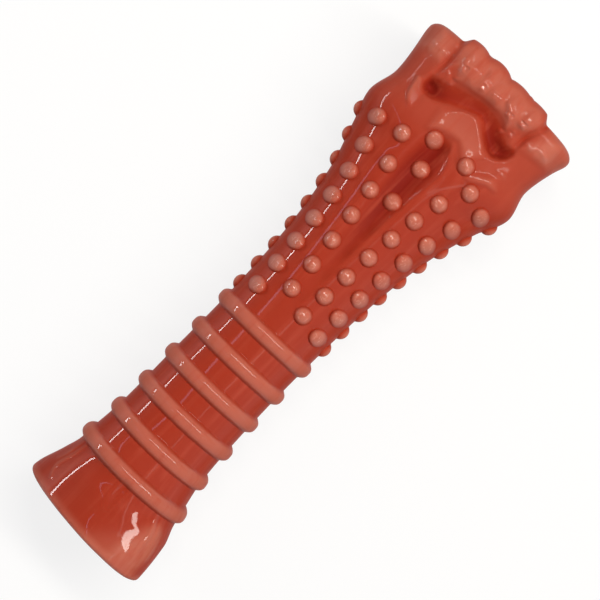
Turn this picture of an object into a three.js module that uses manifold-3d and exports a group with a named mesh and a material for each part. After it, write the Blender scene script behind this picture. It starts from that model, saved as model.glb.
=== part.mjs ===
// A nylon knuckle chew bone, lying level on its two flared ends.
// Millimetres, +Z up, +X from the foot to the knuckle head. The origin is on the floor under the
// middle of the bone. The real bone is one moulding: here it is divided at the roots of its rings,
// nub rows, shank and head, which key into one another.
import * as THREE from "three";
import { mergeVertices } from "three/addons/utils/BufferGeometryUtils.js";
import Module from "manifold-3d";

const wasm = await Module();
wasm.setup();

// Lengths along the bone
const FOOT_LENGTH = 23.2; // flat end to the middle of the last ring
const SHAFT_LENGTH = 59; // middle of the last ring to the middle of the first
const SHANK_LENGTH = 83.8; // middle of the first ring to the knuckle
const HEAD_LENGTH = 25.1; // knuckle, to the tip of its crest

// Outline: half-widths across Y, half-heights along Z and radii where the section is round
const FOOT_HALF_WIDTH = 24.2;
const FOOT_HALF_HEIGHT = 21;
const FOOT_ROUND = 2; // rounded rim of the flat end
const FOOT_LEAN = 0.22; // slope of the foot's section, which stands higher on its -Y side
const INSTEP_HALF_WIDTH = 21.9; // halfway along the foot
const INSTEP_HALF_HEIGHT = 20.3;
const NECK_RADIUS = 19.4; // under the last ring
const TAPER_LENGTH = 13; // from the last ring to where the shaft is nearly straight
const TAPER_RADIUS = 17.6;
const SHAFT_RADIUS = 16.9;
const THROAT_RADIUS = 16.8; // under the first ring
const SHANK_HALF_WIDTH = 17.9;
const SHANK_HALF_HEIGHT = 17.2;
const FLARE_HALF_WIDTH = 21.1; // where the shank starts to open out
const FLARE_HALF_HEIGHT = 17.6;
const SPREAD_HALF_WIDTH = 25.9;
const SPREAD_HALF_HEIGHT = 18.1;
const SHOULDER_HALF_WIDTH = 29.6;
const SHOULDER_HALF_HEIGHT = 18.4;
const WAIST_HALF_WIDTH = 27.6; // drawn in between the shoulder and the horns
const WAIST_HALF_HEIGHT = 17.6;
const HORN_HALF_WIDTH = 30.2;
const HORN_HALF_HEIGHT = 18.8;
const HEAD_ROUND = 3; // rounded rim of the head's end
const END_SKEW = 0.03; // slope of the two ends across the bone, further along it on the +Y side

// Bow of the bone: how far its middle line lies towards -Y
const FOOT_BOW = 1.2;
const NECK_BOW = 0.6;
const SHAFT_BOW = -0.3;
const SHANK_BOW = 0.2;
const SHOULDER_BOW = 0.8;
const HORN_BOW = 1.5;

// Squareness of the section: 2 is an ellipse, more is boxier
const ROUND_SECTION = 2;
const FOOT_SECTION = 1.95;
const SHOULDER_SECTION = 2.4;
const HORN_SECTION = 2.8;

// Depth and height of the moulded relief
const FOOT_DENT = 2.2; // hollow on one side of the foot
const FOOT_FOLD = 1.6; // crease between the foot's lobes
const FOOT_LOBE = 0.5;
const FLUTE_DEPTH = 4.2; // long middle channel of the shank
const LIP_RISE = 1.4; // tongue and its two arms
const VALLEY_DEPTH = 4.6; // between the lip and the crest
const CREST_RISE = 3;
const CREST_LUMP_RISE = 0.8; // each scallop above the crest
const GROOVE_DEPTH = 2.6; // between the crest and each horn
const CREST_HALF_WIDTH = 17;
const CREST_LUMPS = 4; // scallops along the end of the crest
const SCALLOP_DEPTH = 1;
const HORN_SETBACK = 3.1; // the horns end this far behind the crest
const HORN_NOTCH = 3; // width of the step from crest to horn
const RELIEF_EDGE = [0.1, 0.45]; // relief fades out towards the sides between these shares of the height

// Rings
const RING_COUNT = 6;
const RING_WIDTH = 4.8;
const RING_RISE = 2; // crown above the shaft
const SEAT_DEPTH = 1.2; // the ring's root below the shaft's surface

// Nubs
const NUB_DIAMETER = 5.5;
const NUB_RISE = 2;
const NUB_SINK = 0.4; // foot of the dome below the surface
const NUB_PITCH = 8.8;
const EDGE_NUB_PITCH = 8;
const STRIP_LIP = 0.25; // strip beyond the nub, each side
const STRIP_DEPTH = 2.4;
const STRIP_KEEL = 0.7; // the strip's width at its bottom, as a share of its width on top
const NUB_ROOT = 0.8; // of a nub in its strip
const PLUG_DEPTH = 1.8; // root of a single nub

// Keys between the divided pieces
const TENON_WALL = 7.5; // round the tenon, at the slimmest part of the shaft
const TENON_LENGTH = 12;
const TENON_SIDES = 6;
const CLEARANCE = 0.3;

// Colour and finish
const NYLON_RED = 0xb34d3b;
const NYLON_ROUGHNESS = 0.25;

// Fineness of the solids
const AROUND = 32; // facets round the foot, the shaft and the rings
const FACE_AROUND = 36; // facets round the shank and the head
const STEP_COARSE = 6;
const STEP_MIDDLE = 2.8;
const STEP_FINE = 2;
const NUB_SIDES = 8;
const PROBE = 0.05; // for the slope of the surface

// Places along the bone, from the flat end of the foot
const SHAFT_START = FOOT_LENGTH;
const SHANK_START = SHAFT_START + SHAFT_LENGTH;
const HEAD_START = SHANK_START + SHANK_LENGTH;
const BONE_END = HEAD_START + HEAD_LENGTH;
const RING_PITCH = SHAFT_LENGTH / (RING_COUNT - 1);
const TENON_RADIUS = SHAFT_RADIUS - TENON_WALL;
const onFoot = (share) => share * FOOT_LENGTH;
const onShank = (share) => SHANK_START + share * SHANK_LENGTH;
const onHead = (share) => HEAD_START + share * HEAD_LENGTH;

const station = (x, width, height, section, bow = 0, lean = 0) => ({ x, width, height, section, bow, lean });
const roundStation = (x, radius, bow) => station(x, radius, radius, ROUND_SECTION, bow);
const OUTLINE = [
  station(0, FOOT_HALF_WIDTH, FOOT_HALF_HEIGHT, FOOT_SECTION, 0, FOOT_LEAN),
  station(onFoot(0.56), INSTEP_HALF_WIDTH, INSTEP_HALF_HEIGHT, FOOT_SECTION, FOOT_BOW, FOOT_LEAN / 2),
  roundStation(SHAFT_START, NECK_RADIUS, NECK_BOW),
  roundStation(SHAFT_START + TAPER_LENGTH, TAPER_RADIUS),
  roundStation((SHAFT_START + TAPER_LENGTH + SHANK_START) / 2, SHAFT_RADIUS, SHAFT_BOW),
  roundStation(SHANK_START, THROAT_RADIUS),
  station(onShank(0.33), SHANK_HALF_WIDTH, SHANK_HALF_HEIGHT, ROUND_SECTION, SHANK_BOW),
  station(onShank(0.61), FLARE_HALF_WIDTH, FLARE_HALF_HEIGHT, ROUND_SECTION, SHANK_BOW),
  station(onShank(0.8), SPREAD_HALF_WIDTH, SPREAD_HALF_HEIGHT, ROUND_SECTION, SHANK_BOW),
  station(onShank(0.92), SHOULDER_HALF_WIDTH, SHOULDER_HALF_HEIGHT, SHOULDER_SECTION, SHOULDER_BOW),
  station(onHead(0.14), WAIST_HALF_WIDTH, WAIST_HALF_HEIGHT, SHOULDER_SECTION, SHOULDER_BOW),
  station(onHead(0.79), HORN_HALF_WIDTH, HORN_HALF_HEIGHT, HORN_SECTION, HORN_BOW),
  station(BONE_END, HORN_HALF_WIDTH, HORN_HALF_HEIGHT, HORN_SECTION, HORN_BOW),
];

// Relief strokes on the upper face, each a path of knots. Across and reach are shares of the horns'
// half-width, and rise is in millimetres. The lower face is the same bone turned over.
const knot = (x, across, reach, rise) => ({
  x,
  y: across * HORN_HALF_WIDTH,
  reach: reach * HORN_HALF_WIDTH,
  rise,
});
const RELIEF = [
  // Foot: dent, fold between the lobes, and the higher lobe
  [knot(onFoot(0.04), 0.43, 0.23, -FOOT_DENT), knot(onFoot(0.7), 0.36, 0.2, -FOOT_DENT)],
  [knot(onFoot(0.2), 0.02, 0.1, -FOOT_FOLD), knot(onFoot(0.8), 0.03, 0.1, -FOOT_FOLD)],
  [knot(onFoot(0.13), -0.27, 0.3, FOOT_LOBE), knot(onFoot(0.4), -0.3, 0.3, FOOT_LOBE)],
  // Flute, deepest where the lip closes it
  [
    knot(onShank(0.17), 0, 0.07, 0),
    knot(onShank(0.4), 0, 0.09, -0.2 * FLUTE_DEPTH),
    knot(onShank(0.67), 0.02, 0.15, -0.6 * FLUTE_DEPTH),
    knot(onShank(0.84), 0.06, 0.25, -FLUTE_DEPTH),
    knot(onShank(0.94), 0.06, 0.2, -FLUTE_DEPTH),
  ],
  // Lip: left arm, tongue and right arm
  [
    knot(onShank(0.89), 0.46, 0.13, 0),
    knot(onShank(0.93), 0.42, 0.13, LIP_RISE),
    knot(onHead(0.03), 0.17, 0.13, LIP_RISE),
  ],
  [knot(onHead(0.02), 0, 0.23, LIP_RISE), knot(onHead(0.21), 0, 0.23, LIP_RISE)],
  [
    knot(onHead(0.07), -0.16, 0.13, LIP_RISE),
    knot(onShank(0.93), -0.38, 0.13, LIP_RISE),
    knot(onShank(0.91), -0.45, 0.13, 0),
  ],
  // Valley, bent round the tongue
  [
    knot(onHead(0.38), 0.66, 0.18, -VALLEY_DEPTH),
    knot(onHead(0.2), 0.38, 0.18, -VALLEY_DEPTH),
    knot(onHead(0.38), 0, 0.18, -VALLEY_DEPTH),
    knot(onHead(0.13), -0.33, 0.18, -VALLEY_DEPTH),
    knot(onHead(0.24), -0.58, 0.18, -VALLEY_DEPTH),
  ],
  // Crest with its lumps, and the groove at each end of it
  [knot(onHead(0.75), 0.48, 0.25, CREST_RISE), knot(onHead(0.75), -0.5, 0.25, CREST_RISE)],
  ...Array.from({ length: CREST_LUMPS }, (_, i) => {
    const across = (((2 * i + 1) / CREST_LUMPS - 1) * CREST_HALF_WIDTH) / HORN_HALF_WIDTH;
    return [knot(onHead(0.65), across, 0.13, CREST_LUMP_RISE), knot(BONE_END, across, 0.13, CREST_LUMP_RISE)];
  }),
  [knot(onHead(0.32), 0.62, 0.09, -GROOVE_DEPTH), knot(onHead(0.88), 0.57, 0.09, -GROOVE_DEPTH)],
  [knot(onHead(0.22), -0.55, 0.09, -GROOVE_DEPTH), knot(onHead(0.88), -0.57, 0.09, -GROOVE_DEPTH)],
];

// Nub rows of the upper face: degrees from the top towards +Y at both ends, and shares of the shank
const nubRow = (name, pitch, firstAngle, lastAngle, first, last) => ({
  name,
  pitch,
  firstAngle: THREE.MathUtils.degToRad(firstAngle),
  lastAngle: THREE.MathUtils.degToRad(lastAngle),
  first: onShank(first),
  last: onShank(last),
});
const EDGE_ROWS = [
  nubRow("nub_row_left_edge", EDGE_NUB_PITCH, 87, 87, 0.076, 0.845),
  nubRow("nub_row_right_edge", EDGE_NUB_PITCH, -87, -87, 0.108, 0.852),
];
const FACE_ROWS = [
  nubRow("nub_row_left_outer", NUB_PITCH, 46, 46, 0.116, 0.857),
  nubRow("nub_row_left_inner", NUB_PITCH, 13, 21, 0.194, 0.872),
  nubRow("nub_row_right_inner", NUB_PITCH, -16, -28, 0.149, 0.884),
  nubRow("nub_row_right_outer", NUB_PITCH, -50, -53, 0.126, 0.851),
];
const SINGLE_NUBS = [
  { name: "flute_nub_1", x: onShank(0.675), angle: THREE.MathUtils.degToRad(-2) },
  { name: "flute_nub_2", x: onShank(0.83), angle: THREE.MathUtils.degToRad(-1) },
  { name: "lip_nub_1", x: onShank(0.934), angle: THREE.MathUtils.degToRad(3) },
  { name: "lip_nub_2", x: onShank(0.945), angle: THREE.MathUtils.degToRad(-14) },
];

// Smooth value of one field of the outline at x
function outlineAt(x, field) {
  let i = 0;
  while (i < OUTLINE.length - 2 && x > OUTLINE[i + 1].x) {
    i += 1;
  }
  const slope = (k) => {
    const before = OUTLINE[Math.max(k - 1, 0)];
    const after = OUTLINE[Math.min(k + 1, OUTLINE.length - 1)];
    return (after[field] - before[field]) / (after.x - before.x);
  };
  const [a, b] = [OUTLINE[i], OUTLINE[i + 1]];
  const span = b.x - a.x;
  const u = THREE.MathUtils.clamp((x - a.x) / span, 0, 1);
  const startSlope = i === 0 ? 0 : slope(i);
  return (
    (1 + 2 * u) * (1 - u) ** 2 * a[field] +
    u * (1 - u) ** 2 * span * startSlope +
    u * u * (3 - 2 * u) * b[field] +
    u * u * (u - 1) * span * slope(i + 1)
  );
}

// How far a rounded rim draws the section in at this distance from the end
function rimInset(distance, radius) {
  const inside = Math.max(radius - distance, 0);
  return radius - Math.sqrt(radius * radius - inside * inside);
}

function strokeRise(knots, x, y) {
  let rise = 0;
  for (let i = 0; i + 1 < knots.length; i += 1) {
    const [a, b] = [knots[i], knots[i + 1]];
    const [dx, dy] = [b.x - a.x, b.y - a.y];
    const along = ((x - a.x) * dx + (y - a.y) * dy) / (dx * dx + dy * dy);
    const u = THREE.MathUtils.clamp(along, 0, 1);
    const away = Math.hypot(x - a.x - u * dx, y - a.y - u * dy);
    const share = away / THREE.MathUtils.lerp(a.reach, b.reach, u);
    const here = share < 1 ? THREE.MathUtils.lerp(a.rise, b.rise, u) * (1 - share * share) ** 2 : 0;
    if (Math.abs(here) > Math.abs(rise)) {
      rise = here;
    }
  }
  return rise;
}

// How far the scalloped end lies behind the tip of the crest
function endSetback(y) {
  const step = (Math.abs(y) - CREST_HALF_WIDTH) / HORN_NOTCH;
  const outside = THREE.MathUtils.smoothstep(step, -0.5, 0.5);
  const phase = (Math.PI * CREST_LUMPS * (y + CREST_HALF_WIDTH)) / CREST_HALF_WIDTH;
  const scallop = (SCALLOP_DEPTH * (1 + Math.cos(phase))) / 2;
  return THREE.MathUtils.lerp(scallop, HORN_SETBACK, outside);
}

// Point of the bone's surface at x along it, and at an angle from the top towards +Y
function surfacePoint(x, angle) {
  const inset = rimInset(x, FOOT_ROUND) + rimInset(BONE_END - x, HEAD_ROUND);
  const height = outlineAt(x, "height") - inset;
  const power = 2 / outlineAt(x, "section");
  const bend = (value) => Math.sign(value) * Math.abs(value) ** power;
  const across = (outlineAt(x, "width") - inset) * bend(Math.sin(angle));
  const upright = bend(Math.cos(angle));
  const face = Math.sign(upright);
  const relief = RELIEF.reduce((sum, knots) => sum + strokeRise(knots, x, face * across), 0);
  const fade = THREE.MathUtils.smoothstep(Math.abs(upright), ...RELIEF_EDGE);
  const z = height * upright - outlineAt(x, "lean") * across + face * fade * relief;
  const nearHead = THREE.MathUtils.smoothstep(x, onHead(0.5), BONE_END);
  const nearEnd = nearHead + 1 - THREE.MathUtils.smoothstep(x, 0, SHAFT_START);
  const shift = nearEnd * END_SKEW * across - nearHead * endSetback(across);
  return new THREE.Vector3(x + shift, across - outlineAt(x, "bow"), z);
}

// The surface's point with its outward direction and its direction round the bone
function surfaceFrame(x, angle) {
  const turn = PROBE / SHAFT_RADIUS;
  const point = surfacePoint(x, angle);
  const along = surfacePoint(x + PROBE, angle).sub(surfacePoint(x - PROBE, angle));
  const round = surfacePoint(x, angle + turn).sub(surfacePoint(x, angle - turn));
  const perRadian = round.length() / (2 * turn);
  const normal = new THREE.Vector3().crossVectors(along, round).normalize();
  return { point, normal, perRadian };
}

// Closed mesh through sections with equal numbers of points, with a middle point on each end
function loft(sections, firstMiddle, lastMiddle) {
  const count = sections[0].length;
  const points = [...sections.flat(), firstMiddle, lastMiddle];
  const first = points.length - 2;
  const index = [];
  for (let j = 0; j < count; j += 1) {
    const next = (j + 1) % count;
    for (let i = 0; i + 1 < sections.length; i += 1) {
      const [a, b] = [i * count + j, i * count + next];
      index.push(a, b + count, b, a, a + count, b + count);
    }
    const last = (sections.length - 1) * count;
    index.push(first, j, next, first + 1, last + next, last + j);
  }
  const geometry = new THREE.BufferGeometry().setFromPoints(points);
  geometry.setIndex(index);
  return geometry;
}

function solid(geometry) {
  const bare = geometry.clone();
  bare.deleteAttribute("normal");
  bare.deleteAttribute("uv");
  const merged = mergeVertices(bare);
  const vertProperties = new Float32Array(merged.getAttribute("position").array);
  const triVerts = new Uint32Array(merged.getIndex().array);
  return new wasm.Manifold(new wasm.Mesh({ numProp: 3, vertProperties, triVerts }));
}

function meshOf(body, name) {
  const { vertProperties, triVerts } = body.getMesh();
  const geometry = new THREE.BufferGeometry();
  geometry.setAttribute("position", new THREE.BufferAttribute(vertProperties, 3));
  geometry.setIndex(new THREE.BufferAttribute(triVerts, 1));
  geometry.computeVertexNormals();
  const material = new THREE.MeshStandardMaterial({
    color: NYLON_RED,
    roughness: NYLON_ROUGHNESS,
    metalness: 0,
  });
  const mesh = new THREE.Mesh(geometry, material);
  mesh.name = name;
  return mesh;
}

// Even stations from one place to another
function stations(from, to, step) {
  const count = Math.max(Math.round((to - from) / step), 1);
  return Array.from({ length: count + 1 }, (_, i) => from + ((to - from) * i) / count);
}

// Stretch of the bone through the given stations
function stretch(places, around, firstMiddle, lastMiddle) {
  const angles = Array.from({ length: around }, (_, j) => (2 * Math.PI * j) / around);
  const sections = places.map((x) => angles.map((angle) => surfacePoint(x, angle)));
  const middle = (x) => new THREE.Vector3(x, 0, 0);
  return solid(loft(sections, middle(firstMiddle), middle(lastMiddle)));
}

// Tenon along the bone's axis, grown by an allowance for its socket
function tenon(from, to, allowance) {
  const length = to - from + 2 * allowance;
  const radius = TENON_RADIUS + allowance;
  const geometry = new THREE.CylinderGeometry(radius, radius, length, TENON_SIDES);
  geometry.rotateZ(-Math.PI / 2);
  geometry.translate((from + to) / 2, 0, 0);
  return solid(geometry);
}

// Ring round the bone's middle line at x, from a closed profile of radius and place along the bone
function revolved(profile, x) {
  const closed = [...profile, profile[0]];
  const outline = closed.map(([radius, place]) => new THREE.Vector2(radius, place));
  const geometry = new THREE.LatheGeometry(outline, AROUND);
  geometry.rotateZ(-Math.PI / 2);
  geometry.translate(0, -outlineAt(x, "bow"), 0);
  return solid(geometry);
}

const ringPlace = (i) => SHANK_START - i * RING_PITCH;

// Half-round ring with a square root
function ring(x) {
  const surface = outlineAt(x, "width");
  const root = surface - SEAT_DEPTH;
  const half = RING_WIDTH / 2;
  const crown = [-90, -42, 0, 42, 90].map((degrees) => {
    const angle = THREE.MathUtils.degToRad(degrees);
    return [surface + RING_RISE * Math.cos(angle), x + half * Math.sin(angle)];
  });
  return revolved([[root, x - half], ...crown, [root, x + half]], x);
}

// Room for a ring in the bone
function ringSeat(x) {
  const root = outlineAt(x, "width") - SEAT_DEPTH - CLEARANCE;
  const outside = outlineAt(x, "width") + 2 * RING_RISE;
  const half = RING_WIDTH / 2 + CLEARANCE;
  const [from, to] = [x - half, x + half];
  return revolved([[root, from], [outside, from], [outside, to], [root, to]], x);
}

// Strip that carries a nub row: it follows the surface, is sunk in it like a keel, and its ends are
// cut back to half an octagon round the end nubs
function strip(row, allowance, above) {
  const half = NUB_DIAMETER / 2 + STRIP_LIP + allowance;
  const short = half * Math.tan(Math.PI / 8);
  const below = STRIP_DEPTH + allowance;
  const section = (x, width) => {
    const angle = rowAngle(row, x);
    const { normal, perRadian } = surfaceFrame(x, angle);
    const corner = (across, distance) =>
      surfacePoint(x, angle + across / perRadian).addScaledVector(normal, distance);
    const keel = width * STRIP_KEEL;
    const top = width + ((width - keel) * above) / below;
    return [corner(-top, above), corner(top, above), corner(keel, -below), corner(-keel, -below)];
  };
  const sections = [
    section(row.first - half, short),
    section(row.first - short, half),
    ...nubPlaces(row).map((x) => section(x, half)),
    section(row.last + short, half),
    section(row.last + half, short),
  ];
  const centre = (points) => {
    const sum = points.reduce((total, point) => total.add(point), new THREE.Vector3());
    return sum.divideScalar(points.length);
  };
  return solid(loft(sections, centre(sections[0]), centre(sections.at(-1))));
}

function nubPlaces(row) {
  return stations(row.first, row.last, row.pitch);
}

function rowAngle(row, x) {
  const share = THREE.MathUtils.clamp((x - row.first) / (row.last - row.first), 0, 1);
  return THREE.MathUtils.lerp(row.firstAngle, row.lastAngle, share);
}

// Domed nub on a straight root, standing on the surface
function nub(x, angle, depth) {
  const radius = NUB_DIAMETER / 2;
  const dome = [0, 48, 90].map((degrees) => {
    const turn = THREE.MathUtils.degToRad(degrees);
    return new THREE.Vector2(radius * Math.sin(turn), (NUB_RISE + NUB_SINK) * Math.cos(turn) - NUB_SINK);
  });
  const root = [new THREE.Vector2(radius, -depth), new THREE.Vector2(0, -depth)];
  return standOn(new THREE.LatheGeometry([...dome, ...root].reverse(), NUB_SIDES), x, angle);
}

// Room for a single nub's root
function nubHole(x, angle) {
  const radius = NUB_DIAMETER / 2 + CLEARANCE;
  const length = PLUG_DEPTH + CLEARANCE + NUB_DIAMETER;
  const geometry = new THREE.CylinderGeometry(radius, radius, length, NUB_SIDES);
  geometry.translate(0, length / 2 - PLUG_DEPTH - CLEARANCE, 0);
  return standOn(geometry, x, angle);
}

function standOn(geometry, x, angle) {
  const { point, normal } = surfaceFrame(x, angle);
  const turn = new THREE.Quaternion().setFromUnitVectors(new THREE.Vector3(0, 1, 0), normal);
  geometry.applyQuaternion(turn);
  geometry.translate(point.x, point.y, point.z);
  return solid(geometry);
}

function nubRowSolid(row) {
  let body = strip(row, 0, 0);
  for (const x of nubPlaces(row)) {
    body = body.add(nub(x, rowAngle(row, x), NUB_ROOT));
  }
  return body;
}

// The same rows and single nubs on the lower face of the turned-over bone
const turnedRow = (row) => ({
  ...row,
  name: `${row.name}_below`,
  firstAngle: row.firstAngle + Math.PI,
  lastAngle: row.lastAngle + Math.PI,
});
const turnedNub = ({ name, x, angle }) => ({ name: `${name}_below`, x, angle: angle + Math.PI });
const rows = [...EDGE_ROWS, ...FACE_ROWS, ...FACE_ROWS.map(turnedRow)];
const singles = [...SINGLE_NUBS, ...SINGLE_NUBS.map(turnedNub)];

const cutAway = (body, tools) => tools.reduce((left, tool) => left.subtract(tool), body);
const rimStations = (radius) => [0, 0.12, 0.45, 1].map((share) => share * radius);
const halfGap = CLEARANCE / 2;

function foot() {
  const end = SHAFT_START - halfGap;
  const places = [...rimStations(FOOT_ROUND), ...stations(FOOT_ROUND, end, STEP_MIDDLE).slice(1)];
  const body = stretch(places, AROUND, 0, end);
  const socket = tenon(SHAFT_START - TENON_LENGTH, SHAFT_START, CLEARANCE);
  return cutAway(body, [socket, ringSeat(SHAFT_START)]);
}

function shaft() {
  const [from, to] = [SHAFT_START + halfGap, SHANK_START - halfGap];
  const body = stretch(stations(from, to, RING_PITCH), AROUND, from, to);
  const tenons = tenon(SHAFT_START - TENON_LENGTH, SHANK_START + TENON_LENGTH, 0);
  const seats = Array.from({ length: RING_COUNT }, (_, i) => ringSeat(ringPlace(i)));
  return cutAway(body.add(tenons), seats);
}

function shank() {
  const [from, to] = [SHANK_START + halfGap, HEAD_START - halfGap];
  const flare = onShank(0.55);
  const places = [...stations(from, flare, STEP_COARSE), ...stations(flare, to, STEP_MIDDLE).slice(1)];
  const body = stretch(places, FACE_AROUND, from, to);
  const sockets = [
    tenon(SHANK_START, SHANK_START + TENON_LENGTH, CLEARANCE),
    tenon(HEAD_START - TENON_LENGTH, HEAD_START, CLEARANCE),
  ];
  const slots = rows.map((row) => strip(row, CLEARANCE, NUB_RISE));
  const holes = singles.map(({ x, angle }) => nubHole(x, angle));
  return cutAway(body, [...sockets, ...slots, ...holes, ringSeat(SHANK_START)]);
}

function head() {
  const from = HEAD_START + halfGap;
  const rim = rimStations(HEAD_ROUND).map((inside) => BONE_END - inside);
  const places = [...stations(from, BONE_END - HEAD_ROUND, STEP_FINE), ...rim.reverse().slice(1)];
  const body = stretch(places, FACE_AROUND, from, BONE_END - HORN_SETBACK);
  return body.add(tenon(HEAD_START - TENON_LENGTH, HEAD_START + HEAD_LENGTH / 3, 0));
}

const bone = new THREE.Group();
bone.add(meshOf(foot(), "foot"));
bone.add(meshOf(shaft(), "shaft"));
for (let i = 0; i < RING_COUNT; i += 1) {
  bone.add(meshOf(ring(ringPlace(i)), `ring_${i + 1}`));
}
bone.add(meshOf(shank(), "shank"));
bone.add(meshOf(head(), "head"));
for (const row of rows) {
  bone.add(meshOf(nubRowSolid(row), row.name));
}
for (const { name, x, angle } of singles) {
  bone.add(meshOf(nub(x, angle, PLUG_DEPTH), name));
}

// Set down on the floor, centred over the origin
const box = new THREE.Box3().setFromObject(bone);
const middle = box.getCenter(new THREE.Vector3());
bone.position.set(-middle.x, -middle.y, -box.min.z);

export default bone;
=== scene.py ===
"""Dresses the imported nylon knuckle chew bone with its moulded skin, rings, nubs, nylon and studio."""

import math

import bmesh
import bpy
import numpy as np
from mathutils import Matrix, Vector


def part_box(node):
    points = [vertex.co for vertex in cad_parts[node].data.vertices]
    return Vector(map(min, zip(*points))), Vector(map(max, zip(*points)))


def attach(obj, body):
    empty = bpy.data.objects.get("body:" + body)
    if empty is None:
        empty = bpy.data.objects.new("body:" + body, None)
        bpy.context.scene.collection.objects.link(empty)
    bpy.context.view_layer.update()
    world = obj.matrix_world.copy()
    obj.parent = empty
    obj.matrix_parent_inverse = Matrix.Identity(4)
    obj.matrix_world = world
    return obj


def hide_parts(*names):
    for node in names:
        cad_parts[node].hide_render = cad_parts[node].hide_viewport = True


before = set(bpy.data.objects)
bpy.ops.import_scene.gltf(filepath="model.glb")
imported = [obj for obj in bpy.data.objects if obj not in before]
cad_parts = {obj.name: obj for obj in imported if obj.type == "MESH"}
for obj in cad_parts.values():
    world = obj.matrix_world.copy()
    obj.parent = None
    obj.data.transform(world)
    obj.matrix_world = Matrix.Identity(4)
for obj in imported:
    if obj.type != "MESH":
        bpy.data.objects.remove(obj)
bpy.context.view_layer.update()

bl_info = {
    "name": "Nylon knuckle chew bone",
    "version": (1, 0, 0),
    "blender": (4, 5, 0),
    "location": "3D View > Sidebar > Chew Bone",
    "description": "Builds the moulded skin, chew rings and nubs of a red nylon bone, and its studio",
    "category": "Object",
}

MM = 0.001
BODY = "root"


def node_span(node):
    """Lowest and highest corner of a CAD node, in millimetres."""
    low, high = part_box(node)
    return np.array(low) / MM, np.array(high) / MM


# Places along the bone, in millimetres from the middle of the foot's flat end, and where its axis runs
FOOT_LOW, FOOT_HIGH = node_span("foot")
RING_NODES = [f"ring_{number}" for number in range(1, 7)]
RING_SPANS = [node_span(node) for node in RING_NODES]
RING_TO_FOOT = 23.18
FOOT_END = (RING_SPANS[-1][0][0] + RING_SPANS[-1][1][0]) / 2 - RING_TO_FOOT
AXIS_SIDE = (RING_SPANS[0][0][1] + RING_SPANS[0][1][1]) / 2
AXIS_HEIGHT = (RING_SPANS[0][0][2] + RING_SPANS[0][1][2]) / 2
RING_PLACES = [(low[0] + high[0]) / 2 - FOOT_END for low, high in RING_SPANS]
RING_RADII = [(high[2] - low[2]) / 2 for low, high in RING_SPANS]
SHANK_START = RING_PLACES[0]
SHAFT_START = RING_PLACES[-1]
HALF_GAP = 0.15
HEAD_START = node_span("shank")[1][0] - FOOT_END + HALF_GAP
HEAD_LOW, HEAD_HIGH = node_span("head")
HEAD_LENGTH = 25.0
BONE_END = HEAD_START + HEAD_LENGTH
FOOT_HALF_WIDTH = (FOOT_HIGH[1] - FOOT_LOW[1]) / 2

# The horns' skin stays this far inside the CAD head on each side
INSIDE_CAD = 0.15
HORN_HALF_WIDTH = (HEAD_HIGH[1] - HEAD_LOW[1]) / 2 - INSIDE_CAD

# Both end faces lean sideways by this slope
END_SKEW = 0.03

# Rings and nubs are sunk this far into the skin, so that no gap shows at their feet
RING_SINK = 0.06
NUB_SINK = 0.05

# The body's skin goes at most this share of the way to the colour of the raised parts, a paler red that is
# partly painted sheen
MOST_RAISED = 0.87

# The lamps look at the middle of the bone from this far away, in metres
BONE_MIDDLE = Vector((0.0, 0.0, AXIS_HEIGHT * MM))
LAMP_DISTANCE = 0.9


def on_foot(share):
    """Place at a share of the way along the foot."""
    return share * SHAFT_START


def on_shank(share):
    """Place at a share of the way along the shank."""
    return SHANK_START + share * (HEAD_START - SHANK_START)


def on_head(share):
    """Place at a share of the way along the head."""
    return HEAD_START + share * (BONE_END - HEAD_START)


def in_frame(along, across, up):
    """Point in metres in the CAD frame, from millimetres along the bone and from its axis."""
    return Vector((along + FOOT_END, across + AXIS_SIDE, up + AXIS_HEIGHT)) * MM


def smoothstep(value, low, high):
    """Smooth rise from 0 at the low value to 1 at the high one."""
    share = np.clip((value - low) / (high - low), 0.0, 1.0)
    return share * share * (3.0 - 2.0 * share)


def on_top(upright):
    """1 on the faces that the mould polished, 0 on the satin flanks."""
    return smoothstep(np.abs(upright), 0.5, 0.75)


class Outline:
    """Half-width, half-height, squareness, bow and lean of the section, smooth between its stations."""

    def __init__(self, stations):
        self.places = np.array([station[0] for station in stations])
        self.values = np.array([station[1:] for station in stations])
        rise = np.zeros_like(self.values)
        rise[1:-1] = self.values[2:] - self.values[:-2]
        run = np.ones((len(stations), 1))
        run[1:-1, 0] = self.places[2:] - self.places[:-2]
        self.slopes = rise / run

    def at(self, place):
        """The five values at each place, one row per place."""
        index = np.clip(np.searchsorted(self.places, place, side="right") - 1, 0, len(self.places) - 2)
        span = (self.places[index + 1] - self.places[index])[:, None]
        u = np.clip((place - self.places[index])[:, None] / span, 0.0, 1.0)
        return (
            (1 + 2 * u) * (1 - u) ** 2 * self.values[index]
            + u * (1 - u) ** 2 * span * self.slopes[index]
            + u * u * (3 - 2 * u) * self.values[index + 1]
            + u * u * (u - 1) * span * self.slopes[index + 1]
        )


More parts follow.
